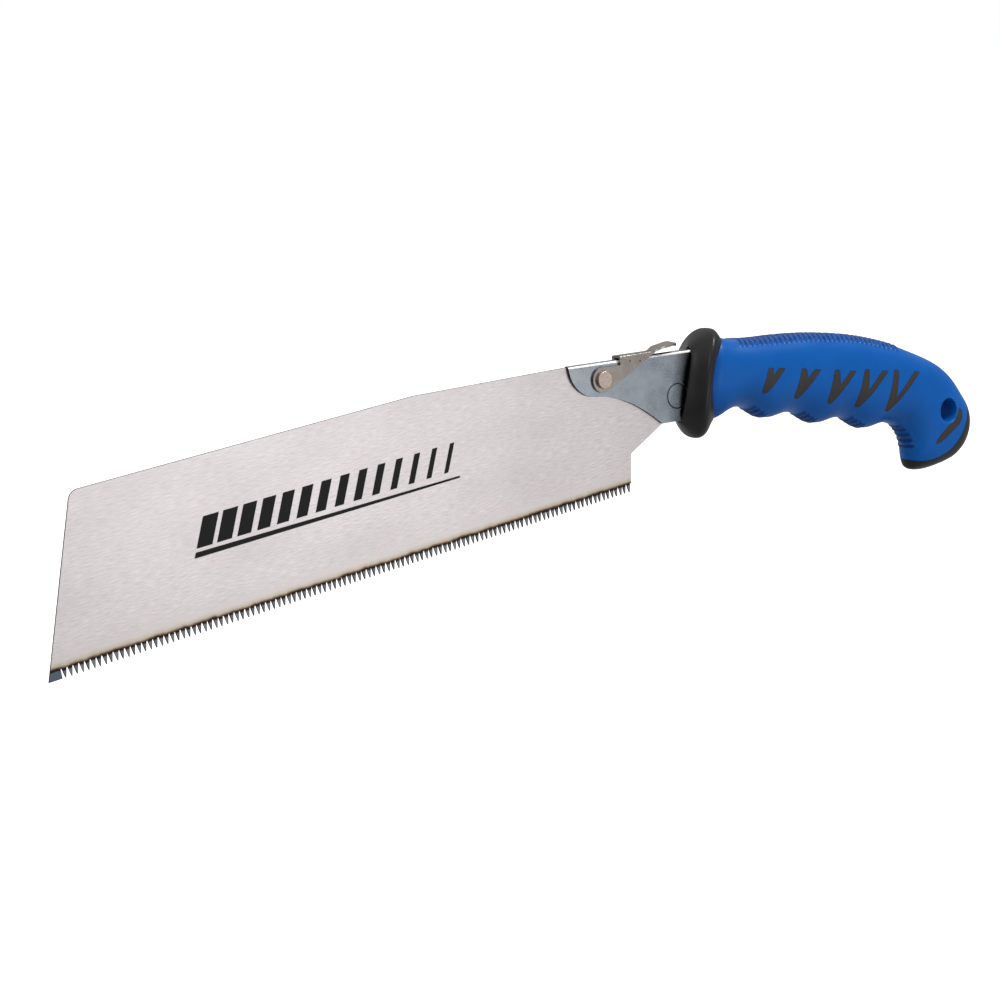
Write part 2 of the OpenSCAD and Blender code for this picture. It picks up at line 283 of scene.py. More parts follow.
def put(tree, kind, inputs=None, **settings):
    node = tree.nodes.new(kind)
    for key, value in settings.items():
        setattr(node, key, value)
    for key, value in (inputs or {}).items():
        if isinstance(value, bpy.types.NodeSocket):
            tree.links.new(value, node.inputs[key])
        else:
            node.inputs[key].default_value = value
    return node


def calc(tree, operation, a, b=0.0, clamp=False):
    return put(tree, "ShaderNodeMath", {0: a, 1: b}, operation=operation, use_clamp=clamp).outputs[0]


def objectNoise(tree, stretch, scale, detail=3.0, roughness=0.5):
    place = put(tree, "ShaderNodeTexCoord")
    mapping = put(tree, "ShaderNodeMapping", {"Vector": place.outputs["Object"], "Scale": stretch})
    return put(tree, "ShaderNodeTexNoise", {"Vector": mapping.outputs[0], "Scale": scale,
                                            "Detail": detail, "Roughness": roughness}).outputs["Fac"]


def ramp(tree, value, stops):
    node = put(tree, "ShaderNodeValToRGB", {"Fac": value})
    elements = node.color_ramp.elements
    while len(elements) < len(stops):
        elements.new(0.5)
    for element, (position, colour) in zip(elements, stops):
        element.position = position
        element.color = (*colour, 1)
    return node.outputs["Color"]


def blendColours(tree, factor, a, b):
    node = put(tree, "ShaderNodeMix", data_type="RGBA")
    for socket, value in ((node.inputs[0], factor), (node.inputs[6], a), (node.inputs[7], b)):
        if isinstance(value, bpy.types.NodeSocket):
            tree.links.new(value, socket)
        else:
            socket.default_value = (*value, 1) if isinstance(value, tuple) else value
    return node.outputs[2]


def spread(tree, value, low, high):
    return put(tree, "ShaderNodeMapRange", {"Value": value, "To Min": low, "To Max": high}).outputs[0]


def bumped(tree, shader, height, strength, distance):
    bump = put(tree, "ShaderNodeBump", {"Height": height, "Strength": strength,
                                        "Distance": distance * mm})
    tree.links.new(bump.outputs[0], shader.inputs["Normal"])


plainMetalValues = {
    # name: colour, darker colour, metallic, roughness, cloud scale, bump
    "zincPlate": ((0.33, 0.365, 0.405), (0.22, 0.25, 0.285), 1.0, 0.27, 170, 0.06),
    "nickelPlate": ((0.33, 0.295, 0.27), (0.24, 0.215, 0.195), 1.0, 0.25, 300, 0.05),
    "pinSteel": ((0.62, 0.51, 0.45), (0.30, 0.24, 0.21), 1.0, 0.40, 1300, 0.5),
    # painted highlight for lit bevels: a pale, half metallic colour
    "paintedEdgeHighlight": ((0.80, 0.80, 0.80), (0.62, 0.63, 0.65), 0.3, 0.22, 500, 0.05),
    # painted shade for edges, grooves and dimples: a near black metal
    "paintedEdgeShade": ((0.055, 0.055, 0.06), (0.03, 0.03, 0.033), 1.0, 0.5, 600, 0.2),
    "plainSteel": ((0.45, 0.45, 0.45), (0.36, 0.36, 0.36), 1.0, 0.4, 400, 0.1),
}

# Painted reflection of the dark collar: the zinc's colour darkens beside the collar
collarReflectionShadeValues = {
    "from": -153.0,      # along the grip from the hanging hole
    "to": -146.5,
    "strength": 0.9,
    "darkness": 0.22,
}


# mask for the painted collar reflection, rising towards the collar
def collarReflectionMask(tree, values):
    place = put(tree, "ShaderNodeTexCoord")
    split = put(tree, "ShaderNodeSeparateXYZ", {"Vector": place.outputs["Object"]})
    slope = math.radians(frameValues["gripSlope"])
    along = calc(tree, "SUBTRACT", calc(tree, "MULTIPLY", split.outputs["X"], math.cos(slope)),
                 calc(tree, "MULTIPLY", split.outputs["Z"], math.sin(slope)))
    return put(tree, "ShaderNodeMapRange", {"Value": along, "From Min": values["from"] * mm,
                                            "From Max": values["to"] * mm,
                                            "To Min": 0.0, "To Max": values["strength"]}).outputs[0]


def makePlainMetal(name, values):
    colour, darker, metallic, roughness, scale, bump = values
    material, tree, shader = newMaterial(name, {"Metallic": metallic, "Roughness": roughness})
    clouds = objectNoise(tree, (1, 1, 1), scale, 5.0, 0.6)
    speck = objectNoise(tree, (1, 1, 1), 3200, 2.0)
    tint = blendColours(tree, spread(tree, clouds, -0.3, 1.3), darker, colour)
    # painted reflection: the zinc darkens towards the dark collar
    if name == "zincPlate":
        reflectedShade = tuple(collarReflectionShadeValues["darkness"] * c for c in darker)
        tint = blendColours(tree, collarReflectionMask(tree, collarReflectionShadeValues), tint, reflectedShade)
    tree.links.new(tint, shader.inputs["Base Color"])
    mixed = calc(tree, "ADD", calc(tree, "MULTIPLY", clouds, 0.6), calc(tree, "MULTIPLY", speck, 0.4))
    tree.links.new(spread(tree, mixed, roughness - 0.1, roughness + 0.12), shader.inputs["Roughness"])
    bumped(tree, shader, mixed, bump, 0.05)
    return material


softValues = {
    # name: colour, paler colour, painted groove shade colour, roughness, specular level, grain strength
    "blackRubber": ((0.008, 0.0085, 0.010), (0.017, 0.016, 0.016), (0.004, 0.004, 0.004), 0.30, 0.2, 0.14),
    "blackInlay": ((0.024, 0.022, 0.023), (0.034, 0.030, 0.029), (0.01, 0.01, 0.01), 0.6, 0.2, 0.15),
    "blueGrip": ((0.0010, 0.067, 0.285), (0.002, 0.088, 0.345), (0.0006, 0.014, 0.075), 0.33, 0.13, 0.12),
    "blackCore": ((0.02, 0.02, 0.021), (0.03, 0.03, 0.03), (0.01, 0.01, 0.01), 0.6, 0.2, 0.1),
}


def makeSoft(name, values):
    colour, paler, grooveShadeColour, roughness, gloss, grain = values
    material, tree, shader = newMaterial(name, {"Roughness": roughness, "Specular IOR Level": gloss})
    clouds = objectNoise(tree, (1, 1, 1), 60, 3.0)
    pores = objectNoise(tree, (1, 1, 1), 2600, 2.0)
    tint = blendColours(tree, spread(tree, clouds, -0.2, 1.2), colour, paler)
    # painted groove shade: the stored groove depth darkens the grooves
    paintedGrooveShade = put(tree, "ShaderNodeAttribute", attribute_name="paintedGrooveShade").outputs["Fac"]
    tree.links.new(blendColours(tree, paintedGrooveShade, tint, grooveShadeColour), shader.inputs["Base Color"])
    tree.links.new(spread(tree, pores, roughness - 0.06, roughness + 0.08), shader.inputs["Roughness"])
    bumped(tree, shader, pores, grain, 0.04)
    return material


metals = {name: makePlainMetal(name, values) for name, values in plainMetalValues.items()}
softs = {name: makeSoft(name, values) for name, values in softValues.items()}
print("shared materials made:", len(metals) + len(softs))


# Blade

bladeValues = {
    "thickness": 0.7,
    "toothLine": 251.0,
    "height": 61.0,
    "toeLean": 18.8,
    "toeRadius": 4.0,
    "guard": 5.0,
    "guardGap": 0.3,
    "pitch": 2.117,
    "gullet": 3.4,
    "toothCentre": 0.46,      # shares of the pitch
    "toothRoot": 0.84,
    "toothTip": 0.16,         # share of the root
    "grind": 0.42,
    "set": 0.08,
    "tail": [(253.4, 15.0), (278.8, 26.7), (281.1, 49.3), (227.8, 54.9), (227.9, 55.9)],
    "topBend": 158.2,         # where the top edge leaves its full height
}

bladeSteelValues = {
    "colour": (0.66, 0.615, 0.625),
    "streakColour": (0.42, 0.39, 0.395),
    "toothColour": (0.15, 0.15, 0.155),
    "burntColour": (0.022, 0.016, 0.014),
    "brownColour": (0.15, 0.095, 0.065),
    "strawColour": (0.46, 0.40, 0.32),
    "paleColour": (0.55, 0.515, 0.50),
    "guardColour": (0.085, 0.11, 0.14),
    "printColour": (0.006, 0.006, 0.0065),
    "fineBrush": (240, 1, 2600),      # how closely the brush lines and clouds lie along x, y and z
    "broadBrush": (25, 1, 60),
    "waverBrush": (260, 1, 120),
    "waver": 0.7,
    "heatHeight": 12.0,
    "roughness": (0.28, 0.46),
}


def makeBladeSteel(values):
    material, tree, shader = newMaterial("bladeSteel", {"Metallic": 1.0, "Roughness": 0.36,
                                                           "Anisotropic": 0.4, "Specular IOR Level": 0.15})
    fine = objectNoise(tree, values["fineBrush"], 1.0, 4.0, 0.65)
    broad = objectNoise(tree, values["broadBrush"], 1.0)
    steel = blendColours(tree, spread(tree, fine, -0.8, 2.0), values["streakColour"], values["colour"])
    steel = blendColours(tree, spread(tree, broad, -0.4, 0.6), steel, values["streakColour"])
    place = put(tree, "ShaderNodeTexCoord")
    split = put(tree, "ShaderNodeSeparateXYZ", {"Vector": place.outputs["Object"]})
    along = calc(tree, "ADD", split.outputs["X"], frameValues["holeInBlade"][0] * mm)
    height = calc(tree, "ADD", split.outputs["Z"], frameValues["holeInBlade"][1] * mm)
    reach = values["waver"] * mm
    waver = spread(tree, objectNoise(tree, values["waverBrush"], 1.0, 2.0), -reach, reach)
    band = calc(tree, "DIVIDE", calc(tree, "ADD", height, waver), values["heatHeight"] * mm, True)
    root = bladeValues["gullet"] / values["heatHeight"]
    heat = ramp(tree, band, [(0.0, values["toothColour"]), (root - 0.07, values["toothColour"]),
                             (root - 0.03, values["burntColour"]), (root + 0.02, values["burntColour"]),
                             (root + 0.05, values["brownColour"]), (root + 0.11, values["strawColour"]),
                             (root + 0.24, values["paleColour"])])
    atToe = calc(tree, "LESS_THAN", along, bladeValues["guard"] * mm)
    low = calc(tree, "LESS_THAN", height, (bladeValues["gullet"] - 0.5) * mm)
    guard = calc(tree, "MULTIPLY", atToe, low)
    near = put(tree, "ShaderNodeMapRange", {"Value": band, "From Min": root + 0.15, "From Max": 0.8,
                                            "To Min": 1.0, "To Max": 0.0}).outputs[0]
    colour = blendColours(tree, near, steel, heat)
    colour = blendColours(tree, guard, colour, values["guardColour"])
    mark = printedBars(tree, printValues, along, height)
    colour = blendColours(tree, mark, colour, values["printColour"])
    tree.links.new(colour, shader.inputs["Base Color"])
    tree.links.new(calc(tree, "SUBTRACT", 1.0, mark), shader.inputs["Metallic"])
    rough = calc(tree, "ADD", spread(tree, fine, *values["roughness"]), calc(tree, "MULTIPLY", mark, 0.08))
    tree.links.new(rough, shader.inputs["Roughness"])
    bumped(tree, shader, fine, 0.25, 0.03)
    return material


# A plain printed mark: slanted bars that thin out along the blade, over a tapering line
printValues = {
    "start": 60.0,           # along the tooth line from the toe
    "length": 112.0,
    "low": 26.2,             # foot of the line over the tooth tips
    "lineThick": 2.0,
    "lineTaper": 1.2,
    "barsFrom": 3.2,
    "barHeight": 10.5,
    "barPitch": 8.0,
    "barWidth": 0.82,        # share of the pitch at the toe, and what it loses on the way
    "barThinning": 0.6,
    "slant": 0.45,
}


def printedBars(tree, values, along, height):
    lift = calc(tree, "SUBTRACT", height, values["low"] * mm)
    slanted = calc(tree, "SUBTRACT", calc(tree, "SUBTRACT", along, values["start"] * mm),
                   calc(tree, "MULTIPLY", lift, values["slant"]))
    part = calc(tree, "DIVIDE", slanted, values["length"] * mm)
    turn = calc(tree, "FRACT", calc(tree, "DIVIDE", slanted, values["barPitch"] * mm))
    width = calc(tree, "SUBTRACT", values["barWidth"], calc(tree, "MULTIPLY", part, values["barThinning"]))
    bars = calc(tree, "LESS_THAN", turn, width)
    inside = calc(tree, "MULTIPLY", calc(tree, "GREATER_THAN", part, 0.0),
                  calc(tree, "LESS_THAN", part, 1.0))
    tall = calc(tree, "MULTIPLY", calc(tree, "GREATER_THAN", lift, values["barsFrom"] * mm),
                calc(tree, "LESS_THAN", lift, (values["barsFrom"] + values["barHeight"]) * mm))
    thick = calc(tree, "SUBTRACT", values["lineThick"] * mm,
                 calc(tree, "MULTIPLY", part, values["lineTaper"] * mm))
    under = calc(tree, "MULTIPLY", calc(tree, "GREATER_THAN", lift, 0.0),
                 calc(tree, "LESS_THAN", lift, thick))
    mark = calc(tree, "MAXIMUM", calc(tree, "MULTIPLY", bars, tall), under)
    return calc(tree, "MULTIPLY", mark, inside)


bladeSteel = makeBladeSteel(bladeSteelValues)


def makeTooth(values, side):
    first = values["guard"] + values["guardGap"]
    centre = first + (side + values["toothCentre"]) * values["pitch"]
    startClean()
    bpy.ops.mesh.primitive_cube_add(size=1, location=(centre * mm, 0, values["gullet"] / 2 * mm))
    tooth = bpy.context.object
    tooth.scale = (values["pitch"] * values["toothRoot"] * mm, values["thickness"] * mm,
                   values["gullet"] * mm)
    bpy.ops.object.transform_apply(location=True, rotation=True, scale=True)
    editing(tooth)
    pick(tooth, lambda co: co.z < 0.5 * mm)
    bpy.ops.transform.resize(value=(values["toothTip"], 1, 1), center_override=(centre * mm, 0, 0))
    face = -1 if side == 0 else 1      # teeth are ground on one face and the other in turn
    pick(tooth, lambda a, b: a.y * face > 0 and b.y * face > 0 and abs(a.z - b.z) > mm, "EDGE")
    bpy.ops.mesh.bevel(offset=values["grind"] * mm, segments=1, affect="EDGES", clamp_overlap=True)
    pick(tooth, lambda co: co.z < 0.5 * mm)
    bpy.ops.transform.translate(value=(0, -face * values["set"] * mm, 0))
    startClean()
    return tooth


def makeTeeth(values):
    teeth = joined([makeTooth(values, side) for side in (0, 1)])
    room = values["toothLine"] - values["guard"] - values["guardGap"]
    row = teeth.modifiers.new("row", "ARRAY")
    row.count = int(room / values["pitch"]) // 2
    row.use_relative_offset = False
    row.use_constant_offset = True
    row.constant_offset_displace = (2 * values["pitch"] * mm, 0, 0)
    applied(teeth)
    return teeth


def makeBlade(values):
    half = values["thickness"] / 2
    lean = math.radians(values["toeLean"])
    toeX = values["height"] * math.tan(lean)
    outline = [(0, 0), (values["guard"], 0), (values["guard"], values["gullet"]),
               (values["toothLine"] + 0.2, values["gullet"])]
    outline += values["tail"]
    outline += [(values["topBend"], values["height"]), (toeX, values["height"])]
    blade = drawPlate("sawBlade", outline, -half, half)
    editing(blade)
    atCorner = 0.1 * mm
    pick(blade, lambda a, b: max(abs(a.x - toeX * mm), abs(b.x - toeX * mm)) < atCorner, "EDGE")
    bpy.ops.mesh.bevel(offset=values["toeRadius"] * mm * math.tan((math.pi / 2 - lean) / 2), segments=8,
                       affect="EDGES")
    startClean()
    rounded(blade, 0.08, 1, 60)
    blade = joined([blade, makeTeeth(values)])
    # the blade's edges take painted edge shade
    return finished(blade, "sawBlade", inBlade, bladeSteel, "blade", "blade", 25,
                    [(metals["paintedEdgeShade"], lambda c, n: abs(n.y) < 0.9)])


makeBlade(bladeValues)


# Folded holder and its stud

holderValues = {
    "sheet": 1.2,
    "halfThick": 1.6,
    "halfGap": 0.4,
    "noseBack": 1.1,
    "noseRadius": 13.5,
    "noseTurn": 84,
    "noseSteps": 14,
    "height": 28.3,
    "sweepBack": 1.5,         # the low edge sweeps down from just before the nose's lowest point
    "sweep": 33.0,
    "sweepPower": 1.87,
    "sweepSteps": 18,
    "endLow": 70.0,           # hidden in the collar
    "endTop": 68.0,
    "stud": (54.4, -18.1),
    "studRadius": 5.5,
    "studGap": 0.04,
    "studRings": [(0.25, 0.0), (0.1, -0.3), (0.35, 0.0), (0.1, 0.28), (0.3, 0.0)],
}


def makeHolder(values):
    back, radius, half = values["noseBack"], values["noseRadius"], values["halfThick"]
    outline = [(back, 0)]
    for i in range(1, values["noseSteps"] + 1):
        a = math.radians(180 + values["noseTurn"] * i / values["noseSteps"])
        outline.append((back + radius * (1 + math.cos(a)), radius * math.sin(a)))
    drop = values["height"] - radius
    for i in range(1, values["sweepSteps"] + 1):
        t = i / values["sweepSteps"]
        outline.append((back + radius - values["sweepBack"] + values["sweep"] * t,
                        -radius - drop * t ** values["sweepPower"]))
    outline += [(values["endLow"], -values["height"]), (values["endTop"], 0)]
    holder = drawPlate("zincHolder", outline, -half, half)
    editing(holder)
    pick(holder, lambda a, b: min(a.z, b.z) > -0.01 * mm and abs(a.x - b.x) > 10 * mm, "EDGE")
    bpy.ops.mesh.bevel(offset=(half - 0.02) * mm, segments=10, affect="EDGES")
    startClean()
    front, rear, under = -5, 90, -60      # clear of the holder
    slit = [(front, -values["sheet"]), (rear, -values["sheet"]), (rear, under), (front, under)]
    boolean(holder, drawPlate("slit", slit, -values["halfGap"], values["halfGap"]))
    boolean(holder, crossBar("studHole", values["stud"], values["studRadius"] + values["studGap"], -5, 5, 72))
    rounded(holder, 0.24, 2, 35)
    # painted shade on the lower side edges, painted highlight on the lower bevels
    edges = [(metals["paintedEdgeShade"], lambda c, n: abs(n.y) < 0.5 and n.z < 0.3 and c.z < -0.3),
             (metals["paintedEdgeHighlight"], lambda c, n: abs(n.y) < 0.98 and c.z < -0.3 and n.z < 0.7)]
    return finished(holder, "zincHolder", inHolder, metals["zincPlate"], "handle", "blade_holder",
                    30, edges)


def makeStud(values):
    half = values["halfThick"]
    proud = half + values["studGap"]
    disc = crossBar("stud", values["stud"], values["studRadius"], -proud, proud, 72)
    editing(disc, "FACE")
    pick(disc, lambda c, n: abs(n.y) > 0.9, "FACE")
    for step, depth in values["studRings"]:
        bpy.ops.mesh.inset(thickness=step * mm, depth=depth * mm, use_individual=True)
    startClean()
    # painted shade on the stud's side and in its ring grooves
    edges = [(metals["paintedEdgeShade"], lambda c, n: abs(n.y) < 0.9 or abs(c.y) < half - 0.1)]
    return finished(disc, "flushStud", inHolder, metals["zincPlate"], "handle", "stop_stud",
                    30, edges)


makeHolder(holderValues)
makeStud(holderValues)


# Latch lever and its pin

leverValues = {
    "endRadius": 5.1,
    "hookStart": 72,          # degrees round the pin where the cheek's round end starts
    "slope": 30.4,
    "inside": 1.75,
    "sheet": 0.9,
    "gap": 0.5,
    "front": 25.7,
    "end": 43.1,
    "bend": 0.75,
    "innerBend": 0.4,
    "dimples": [(30.5, -1.2), (35.5, -1.7)],
    "dimpleRadius": 0.55,
    "dimpleOut": 0.32,
}

tabValues = {
    "overlap": 1.0,           # runs into the lever
    "length": 12.3,
    "halfWidth": 3.7,
    "corner": 0.92,           # share of the half width
    "rise": 2.9,
    "riseSpeed": 1.25,
    "droop": 0.3,
    "curl": 0.9,
    "lengthSteps": 14,
    "widthSteps": 8,
}


def makeTab(values, lever):
    x0, x1 = lever["end"] - values["overlap"], lever["end"] + values["length"]
    half, low = values["halfWidth"], lever["gap"]
    startClean()
    bpy.ops.mesh.primitive_cube_add(size=1, location=((x0 + x1) / 2 * mm, 0, (low + lever["sheet"] / 2) * mm))
    tab = bpy.context.object
    tab.scale = ((x1 - x0) * mm, 2 * half * mm, lever["sheet"] * mm)
    bpy.ops.object.transform_apply(location=True, rotation=True, scale=True)
    editing(tab)
    pick(tab, lambda a, b: min(a.x, b.x) > x1 * mm - 1e-6 and abs(a.z - b.z) > 0.1 * mm, "EDGE")
    bpy.ops.mesh.bevel(offset=half * values["corner"] * mm, segments=8, affect="EDGES")
    for i in range(1, values["lengthSteps"]):
        bpy.ops.mesh.select_all(action="SELECT")
        bpy.ops.mesh.bisect(plane_co=((x0 + (x1 - x0) * i / values["lengthSteps"]) * mm, 0, 0),
                            plane_no=(1, 0, 0))
    for i in range(1, values["widthSteps"]):
        bpy.ops.mesh.select_all(action="SELECT")
        bpy.ops.mesh.bisect(plane_co=(0, half * (2 * i / values["widthSteps"] - 1) * mm, 0),
                            plane_no=(0, 1, 0))
    narrow = (lever["inside"] + lever["sheet"] - 0.1) / half
    bm = bmesh.from_edit_mesh(tab.data)
    for v in bm.verts:      # the tab widens, rises and droops at its end, and its sides curl down
        t = share(lever["end"], x1, v.co.x / mm)
        rise = math.sin(math.pi / 2 * min(1.0, t * values["riseSpeed"]))
        rise -= values["droop"] * smoothStep(0.7, 1, t)
        v.co.y *= narrow + (1 - narrow) * smoothStep(0.0, 0.35, t)
        v.co.z += values["rise"] * mm * rise
        v.co.z -= values["curl"] * mm * (v.co.y / (half * mm)) ** 2 * smoothStep(0.15, 0.6, t)
    bmesh.update_edit_mesh(tab.data)
    startClean()
    return tab


def makeLever(values):
    px, pz = frameValues["pinInHolder"]
    radius, low = values["endRadius"], values["gap"]
    top = low + values["sheet"]
    outside = values["inside"] + values["sheet"]
    outline = [(values["front"], top), (values["front"], pz + 0.94 * radius)]
    turn = 270 + values["slope"] - values["hookStart"]
    for i in range(25):
        a = math.radians(values["hookStart"] + turn * i / 24)
        outline.append((px + radius * math.cos(a), pz + radius * math.sin(a)))
    outline += [(values["end"] - 0.4, low), (values["end"], low + 0.35), (values["end"], top)]
    lever = drawPlate("lever", outline, -outside, outside)
    editing(lever)
    pick(lever, lambda a, b: min(a.z, b.z) > (top - 0.01) * mm and abs(a.x - b.x) > 5 * mm, "EDGE")
    bpy.ops.mesh.bevel(offset=values["bend"] * mm, segments=6, affect="EDGES")
    startClean()
    front, rear, under = 0, 60, -30      # clear of the lever
    block = drawPlate("inner", [(front, under), (rear, under), (rear, low), (front, low)],
                      -values["inside"], values["inside"])
    editing(block)
    pick(block, lambda a, b: min(a.z, b.z) > -mm and abs(a.x - b.x) > 5 * mm, "EDGE")
    bpy.ops.mesh.bevel(offset=values["innerBend"] * mm, segments=3, affect="EDGES")
    startClean()
    boolean(lever, block)
    boolean(lever, makeTab(tabValues, values), "UNION")
    for side in (-1, 1):
        for x, z in values["dimples"]:
            startClean()
            bpy.ops.mesh.primitive_uv_sphere_add(
                segments=20, ring_count=12, radius=values["dimpleRadius"] * mm,
                location=(x * mm, side * (outside + values["dimpleOut"]) * mm, z * mm))
            boolean(lever, bpy.context.object)
    rounded(lever, 0.2, 2, 35)

    # dimple walls take painted shade
    def inDimple(c, n):
        return abs(n.y) < 0.97 and any(math.hypot(c.x - x, c.z - z) < 1 for x, z in values["dimples"])

    # painted shade in the dimples, painted highlight on the lower bevels
    edges = [(metals["paintedEdgeShade"], inDimple),
             (metals["paintedEdgeHighlight"], lambda c, n: 0.25 < abs(n.y) < 0.97 and c.z < 0.4)]
    return finished(lever, "latchLever", inHolder, metals["nickelPlate"], "latch", "latch_lever",
                    30, edges)


pinValues = {
    "radius": 2.5,
    "halfLength": 2.7,
    "headRadius": 3.45,
    "near": (-4.05, -2.65),
    "far": (2.65, 3.77),
    "headRings": [(0.28, 0.0), (0.5, 0.03), (0.6, -0.05), (0.7, 0.05), (0.7, -0.03)],
    "hammerDepth": 0.045,
}


def hammered(x, z):
    return math.sin(x * 2900) * math.sin(z * 3700 + 1) + 0.5 * math.sin(x * 6100 + z * 5200)


def makePinHead(values, y0, y1, outer):
    head = crossBar("head", frameValues["pinInHolder"], values["headRadius"], y0, y1, 56)
    editing(head, "FACE")
    pick(head, lambda c, n: n.y * outer > 0.9, "FACE")
    for step, depth in values["headRings"]:
        bpy.ops.mesh.inset(thickness=step * mm, depth=depth * mm)
    bm = bmesh.from_edit_mesh(head.data)
    for v in bm.verts:      # only the peened face
        if v.co.y * outer > (max(y0 * outer, y1 * outer) - 0.15) * mm:
            v.co.y += values["hammerDepth"] * mm * hammered(v.co.x, v.co.z)
    bmesh.update_edit_mesh(head.data)
    startClean()
    rounded(head, 0.22, 3, 50)
    return head


def makePin(values):
    shank = crossBar("pin", frameValues["pinInHolder"], values["radius"],
                     -values["halfLength"], values["halfLength"], 48)
    near = makePinHead(values, *values["near"], -1)
    far = makePinHead(values, *values["far"], 1)
    pin = joined([near, far, shank])
    return finished(pin, "latchPin", inHolder, metals["pinSteel"], "latch", "cam_pin", 40)


makeLever(leverValues)
makePin(pinValues)


# Lofted rings for the grip and its collar

def squared(value, power):
    return math.copysign(abs(value) ** (2 / power), value)


# Rings are pulled one from another, each set by its top point, its low point and its half width
def pullLoft(name, rows, sides, powerAbove, powerBelow):
    def ringOf(row):
        top, low = Vector((row[0], 0, row[1])) * mm, Vector((row[2], 0, row[3])) * mm
        lean = math.atan2((top - low).x, (top - low).z)
        return (top + low) / 2, (top - low).length / 2, row[4] * mm, lean

    centre, reach, half, lean = ringOf(rows[0])
    startClean()
    bpy.ops.mesh.primitive_circle_add(vertices=sides, radius=1.0, rotation=(0, math.pi / 2, 0))
    obj = bpy.context.object
    obj.name = name
    bpy.ops.object.transform_apply(location=True, rotation=True, scale=True)
    editing(obj)
    bm = bmesh.from_edit_mesh(obj.data)
    for v in bm.verts:      # the circle becomes a soft rectangle, half a step round from its top
        a = math.atan2(v.co.y, v.co.z) + math.pi / sides
        power = powerAbove if math.cos(a) > 0 else powerBelow
        v.co = Vector((0, half * squared(math.sin(a), power), reach * squared(math.cos(a), power)))
        v.co.rotate(Matrix.Rotation(lean, 3, "Y"))
        v.co += centre
    bmesh.update_edit_mesh(obj.data)
    bpy.ops.mesh.select_all(action="SELECT")
    for row in rows[1:]:
        newCentre, newReach, newHalf, newLean = ringOf(row)
        bpy.ops.mesh.extrude_region_move(TRANSFORM_OT_translate={"value": newCentre - centre})
        bm = bmesh.from_edit_mesh(obj.data)
        fit = (Matrix.Translation(newCentre) @ Matrix.Rotation(newLean, 4, "Y")
               @ Matrix.Diagonal((1, newHalf / half, newReach / reach, 1))
               @ Matrix.Rotation(-lean, 4, "Y") @ Matrix.Translation(-newCentre))
        for v in bm.verts:
            if v.select:
                v.co = fit @ v.co
        bmesh.update_edit_mesh(obj.data)
        centre, reach, half, lean = newCentre, newReach, newHalf, newLean
    bpy.ops.mesh.select_all(action="DESELECT")
    bpy.ops.mesh.select_mode(type="EDGE")
    bpy.ops.mesh.select_non_manifold()
    bpy.ops.mesh.edge_face_add()
    startClean()
    return obj


def spline(a, b, c, d, t):
    return 0.5 * (2 * b + (c - a) * t + (2 * a - 5 * b + 4 * c - d) * t * t
                  + (3 * b - a - 3 * c + d) * t ** 3)


def smoothRows(rows, steps):
    last = len(rows) - 1
    out = []
    for j in range(last):
        four = (rows[max(j - 1, 0)], rows[j], rows[j + 1], rows[min(j + 2, last)])
        for s in range(steps):
            out.append([spline(a, b, c, d, s / steps) for a, b, c, d in zip(*four)])
    return out + [list(rows[last])]


gripValues = {
    "start": -7.094,          # hidden in the collar
    "ringStep": 1.594,
    "sides": 36,
    "halfWidth": 11.0,
    "waist": 1.2,             # narrower towards the collar
    "mouth": 1.6,             # and more so inside it
    "fingerPitch": 28.7,
    "firstFinger": 18.6,
    "fingers": 3,             # whole lobes between the hollows
    "fingerDepth": 3.4,
    "fingerPower": 2.3,
    "hollowAt": -8.2,
    "crown": [(-5.5, 15.1), (-1, 18.9), (8, 18.9), (18.6, 19.9), (32.95, 22.6), (47.3, 24.9),
              (61.65, 26.4), (76, 27.1), (90.35, 26.7), (104.7, 25.2), (121, 22.2)],
    "neck": [(-5.5, -13.5), (-1, -14.4), (4.5, -14.6), (6.6, -13.6), (9.0, -11.8), (12.6, -9.6),
             (15.4, -8.6)],
    "butt": [      # top u, top v, low u, low v, half width
        [121.0, 22.2, 111.6, -9.6, 10.8], [131.0, 19.3, 116.7, -13.9, 10.6],
        [139.0, 15.1, 119.5, -19.2, 10.5], [145.8, 9.6, 120.4, -23.9, 10.3],
        [151.5, 4.4, 122.3, -27.35, 9.9], [154.4, -2.0, 128.4, -27.35, 9.2],
        [153.6, -9.3, 135.5, -25.1, 7.8], [150.3, -14.9, 141.0, -22.5, 6.0],
        [148.0, -17.5, 144.0, -20.4, 4.2]],
    "ribBand": (10.5, 101.0, 7.6),      # first, last, half width
    "ribPitch": 2.7,
    "ribLean": 0.42,
    "ribDepth": 0.7,
    "grooveDepth": 0.75,
    "grooveReach": 2.4,
    "groovePitch": 2.6,
    "hookCentre": (106.0, -23.0),       # middle of the last hollow's curve
    "hookReach": (14.9, 16.3),
    "hookTurn": (12, 18, 66, 74),       # degrees where its grooves start and fade
    "hookPitch": 11.5,
    "holeRadius": 5.0,
    "holeHalfLength": 9.0,
    "holeFlare": [(0.55, 1.025), (0.45, 1.06), (0.4, 1.09), (3.0, 1.5)],
}


def crownAt(values, u):
    points = values["crown"]
    last = len(points) - 1
    j = 0
    while j < last - 1 and u > points[j + 1][0]:
        j += 1
    four = [points[max(j - 1, 0)], points[j], points[j + 1], points[min(j + 2, last)]]
    return spline(*[p[1] for p in four], share(four[1][0], four[2][0], u))


def bellyAt(values, u):
    if u < values["firstFinger"]:
        points = values["neck"] + [(values["firstFinger"], values["hollowAt"])]
        for (u0, v0), (u1, v1) in zip(points, points[1:]):
            if u <= u1:
                return v0 + (v1 - v0) * share(u0, u1, u)
    lobe = (u - values["firstFinger"]) / values["fingerPitch"]
    if lobe > values["fingers"]:
        return values["hollowAt"]
    bulge = math.sin(math.pi * (lobe % 1.0)) ** values["fingerPower"]
    return values["hollowAt"] - values["fingerDepth"] * bulge


